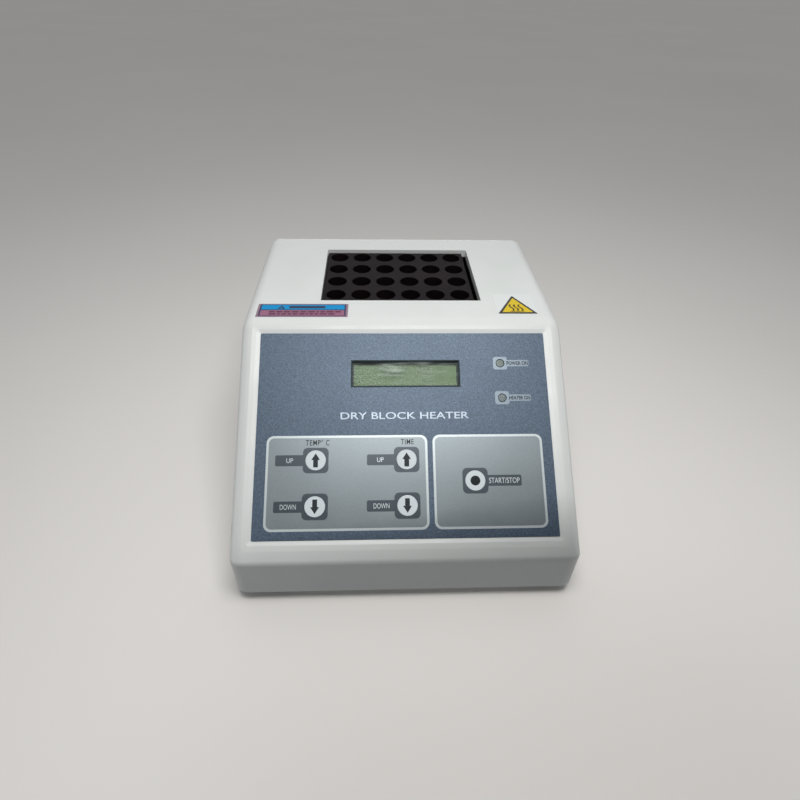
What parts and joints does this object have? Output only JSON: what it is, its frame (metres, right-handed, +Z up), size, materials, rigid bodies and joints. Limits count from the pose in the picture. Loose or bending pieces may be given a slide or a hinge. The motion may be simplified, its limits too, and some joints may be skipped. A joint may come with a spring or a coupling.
{
  "type": "dry block heater",
  "caption": "Bench dry block heater with a lift-out aluminium tube block in a flat top, a sloping keypad panel with a small display, and a rear mains inlet.",
  "frame": {"origin": "centre of the object's outline, on the surface that the feet stand on", "axes": "+X to the user's right, +Y from the user towards the back wall, +Z up"},
  "size_m": [0.192, 0.2387, 0.1157],
  "materials": {
    "case_plastic": "satin off-white moulded plastic with a fine texture",
    "base_steel": "light grey powder coat",
    "foot_rubber": "black rubber",
    "zinc_steel": "zinc-plated",
    "panel_print": "printed satin film, slate blue with silver-grey fields",
    "key_cap": "satin near-white",
    "power_lens": "clouded green-grey lens, unlit",
    "heater_lens": "clouded grey lens, unlit",
    "display_pane": "clear gloss",
    "lcd_metal": "black tinplate",
    "lcd_green": "green reflective display",
    "lcd_diffuser": "milky light guide",
    "circuit_board": "green solder mask",
    "chip_black": "black epoxy",
    "switch_black": "black nylon",
    "block_anodised": "black anodised, fine milled",
    "tray_aluminium": "black anodised",
    "gasket_silicone": "dark grey silicone",
    "heater_silicone": "red-brown silicone with glass cloth",
    "insulation_wool": "pressed ceramic wool board",
    "probe_steel": "drawn stainless tube",
    "thermostat_body": "brown phenolic",
    "panel_steel": "brushed steel",
    "inlet_black": "black nylon",
    "rocker_black": "gloss black",
    "contact_brass": "tinned brass",
    "fuse_glass": "clear glass with plated caps",
    "relay_case": "blue moulded cover",
    "terminal_green": "green moulded plastic",
    "core_iron": "varnished steel laminations",
    "winding_tape": "yellow polyester tape",
    "heatsink_aluminium": "black anodised",
    "capacitor_sleeve": "dark blue sleeve",
    "lead_insulation": "PVC insulation",
    "silicone_lead": "white silicone sleeve",
    "ribbon_grey": "grey flat cable",
    "caution_print": "printed vinyl, blue header over a mauve field",
    "hot_print": "printed vinyl, white square for a yellow triangle",
    "rating_print": "blank silver plate"
  },
  "bodies": {
    "case": {"top_case": "case_plastic", "base_plate": "base_steel", "base_screws": "zinc_steel", "rubber_feet": "foot_rubber", "foot_screws": "zinc_steel", "foot_nuts": "zinc_steel", "printed_panel": "panel_print", "power_lamp": "power_lens", "heater_lamp": "heater_lens", "display_window": "display_pane", "lcd_bezel": "lcd_metal", "lcd_glass": "lcd_green", "lcd_backlight": "lcd_diffuser", "lcd_board": "circuit_board", "lcd_screws": "zinc_steel", "control_board": "circuit_board", "board_screws": "zinc_steel", "key_switches": "switch_black", "microcontroller": "chip_black", "buzzer": "chip_black", "ribbon_connectors": "switch_black", "ribbon_cable": "ribbon_grey", "heated_tray": "tray_aluminium", "well_gasket": "gasket_silicone", "tray_screws": "zinc_steel", "heater_mat": "heater_silicone", "insulation_jacket": "insulation_wool", "thermal_cutout": "thermostat_body", "temperature_probe": "probe_steel", "rear_panel": "panel_steel", "rear_panel_screws": "zinc_steel", "power_inlet": "inlet_black", "inlet_pins": "contact_brass", "inlet_screws": "zinc_steel", "power_switch_frame": "inlet_black", "power_switch_terminals": "contact_brass", "supply_board": "circuit_board", "supply_board_pillars": "contact_brass", "relay": "relay_case", "terminal_block": "terminal_green", "triac_heatsink": "heatsink_aluminium", "triac": "chip_black", "capacitors": "capacitor_sleeve", "transformer_core": "core_iron", "transformer_winding": "winding_tape", "mains_leads": "lead_insulation", "heater_leads": "silicone_lead", "probe_lead": "silicone_lead", "caution_sticker": "caution_print", "hot_surface_sticker": "hot_print", "rating_plate": "rating_print"},
    "lift_out_block": {"heating_block": "block_anodised"},
    "rocker": {"power_rocker": "rocker_black"},
    "drawer": {"fuse_drawer": "inlet_black", "fuse": "fuse_glass"},
    "temp_up": {"temp_up_key": "key_cap"},
    "temp_down": {"temp_down_key": "key_cap"},
    "time_up": {"time_up_key": "key_cap"},
    "time_down": {"time_down_key": "key_cap"},
    "start_stop": {"start_stop_key": "key_cap"}
  },
  "joints": [
    {"name": "block_lift", "type": "slide", "parent": "case", "child": "lift_out_block", "axis": [0, 0, 1], "range_m": [0, 0.056]},
    {"name": "temp_up_press", "type": "slide", "parent": "case", "child": "temp_up", "axis": [0, 0.5878, -0.809], "range_m": [0, 0.0005], "stiffness_N_per_m": 600, "springref_m": -0.0005},
    {"name": "temp_down_press", "type": "slide", "parent": "case", "child": "temp_down", "axis": [0, 0.5878, -0.809], "range_m": [0, 0.0005], "stiffness_N_per_m": 600, "springref_m": -0.0005},
    {"name": "time_up_press", "type": "slide", "parent": "case", "child": "time_up", "axis": [0, 0.5878, -0.809], "range_m": [0, 0.0005], "stiffness_N_per_m": 600, "springref_m": -0.0005},
    {"name": "time_down_press", "type": "slide", "parent": "case", "child": "time_down", "axis": [0, 0.5878, -0.809], "range_m": [0, 0.0005], "stiffness_N_per_m": 600, "springref_m": -0.0005},
    {"name": "start_stop_press", "type": "slide", "parent": "case", "child": "start_stop", "axis": [0, 0.5878, -0.809], "range_m": [0, 0.0005], "stiffness_N_per_m": 600, "springref_m": -0.0005},
    {"name": "rocker_tilt", "type": "hinge", "parent": "case", "child": "rocker", "pos_m": [0.008, 0.11395, 0.029], "axis": [1, 0, 0], "range_deg": [0, 20]},
    {"name": "fuse_drawer_pull", "type": "slide", "parent": "case", "child": "drawer", "axis": [0, 1, 0], "range_m": [0, 0.016]}
  ]
}
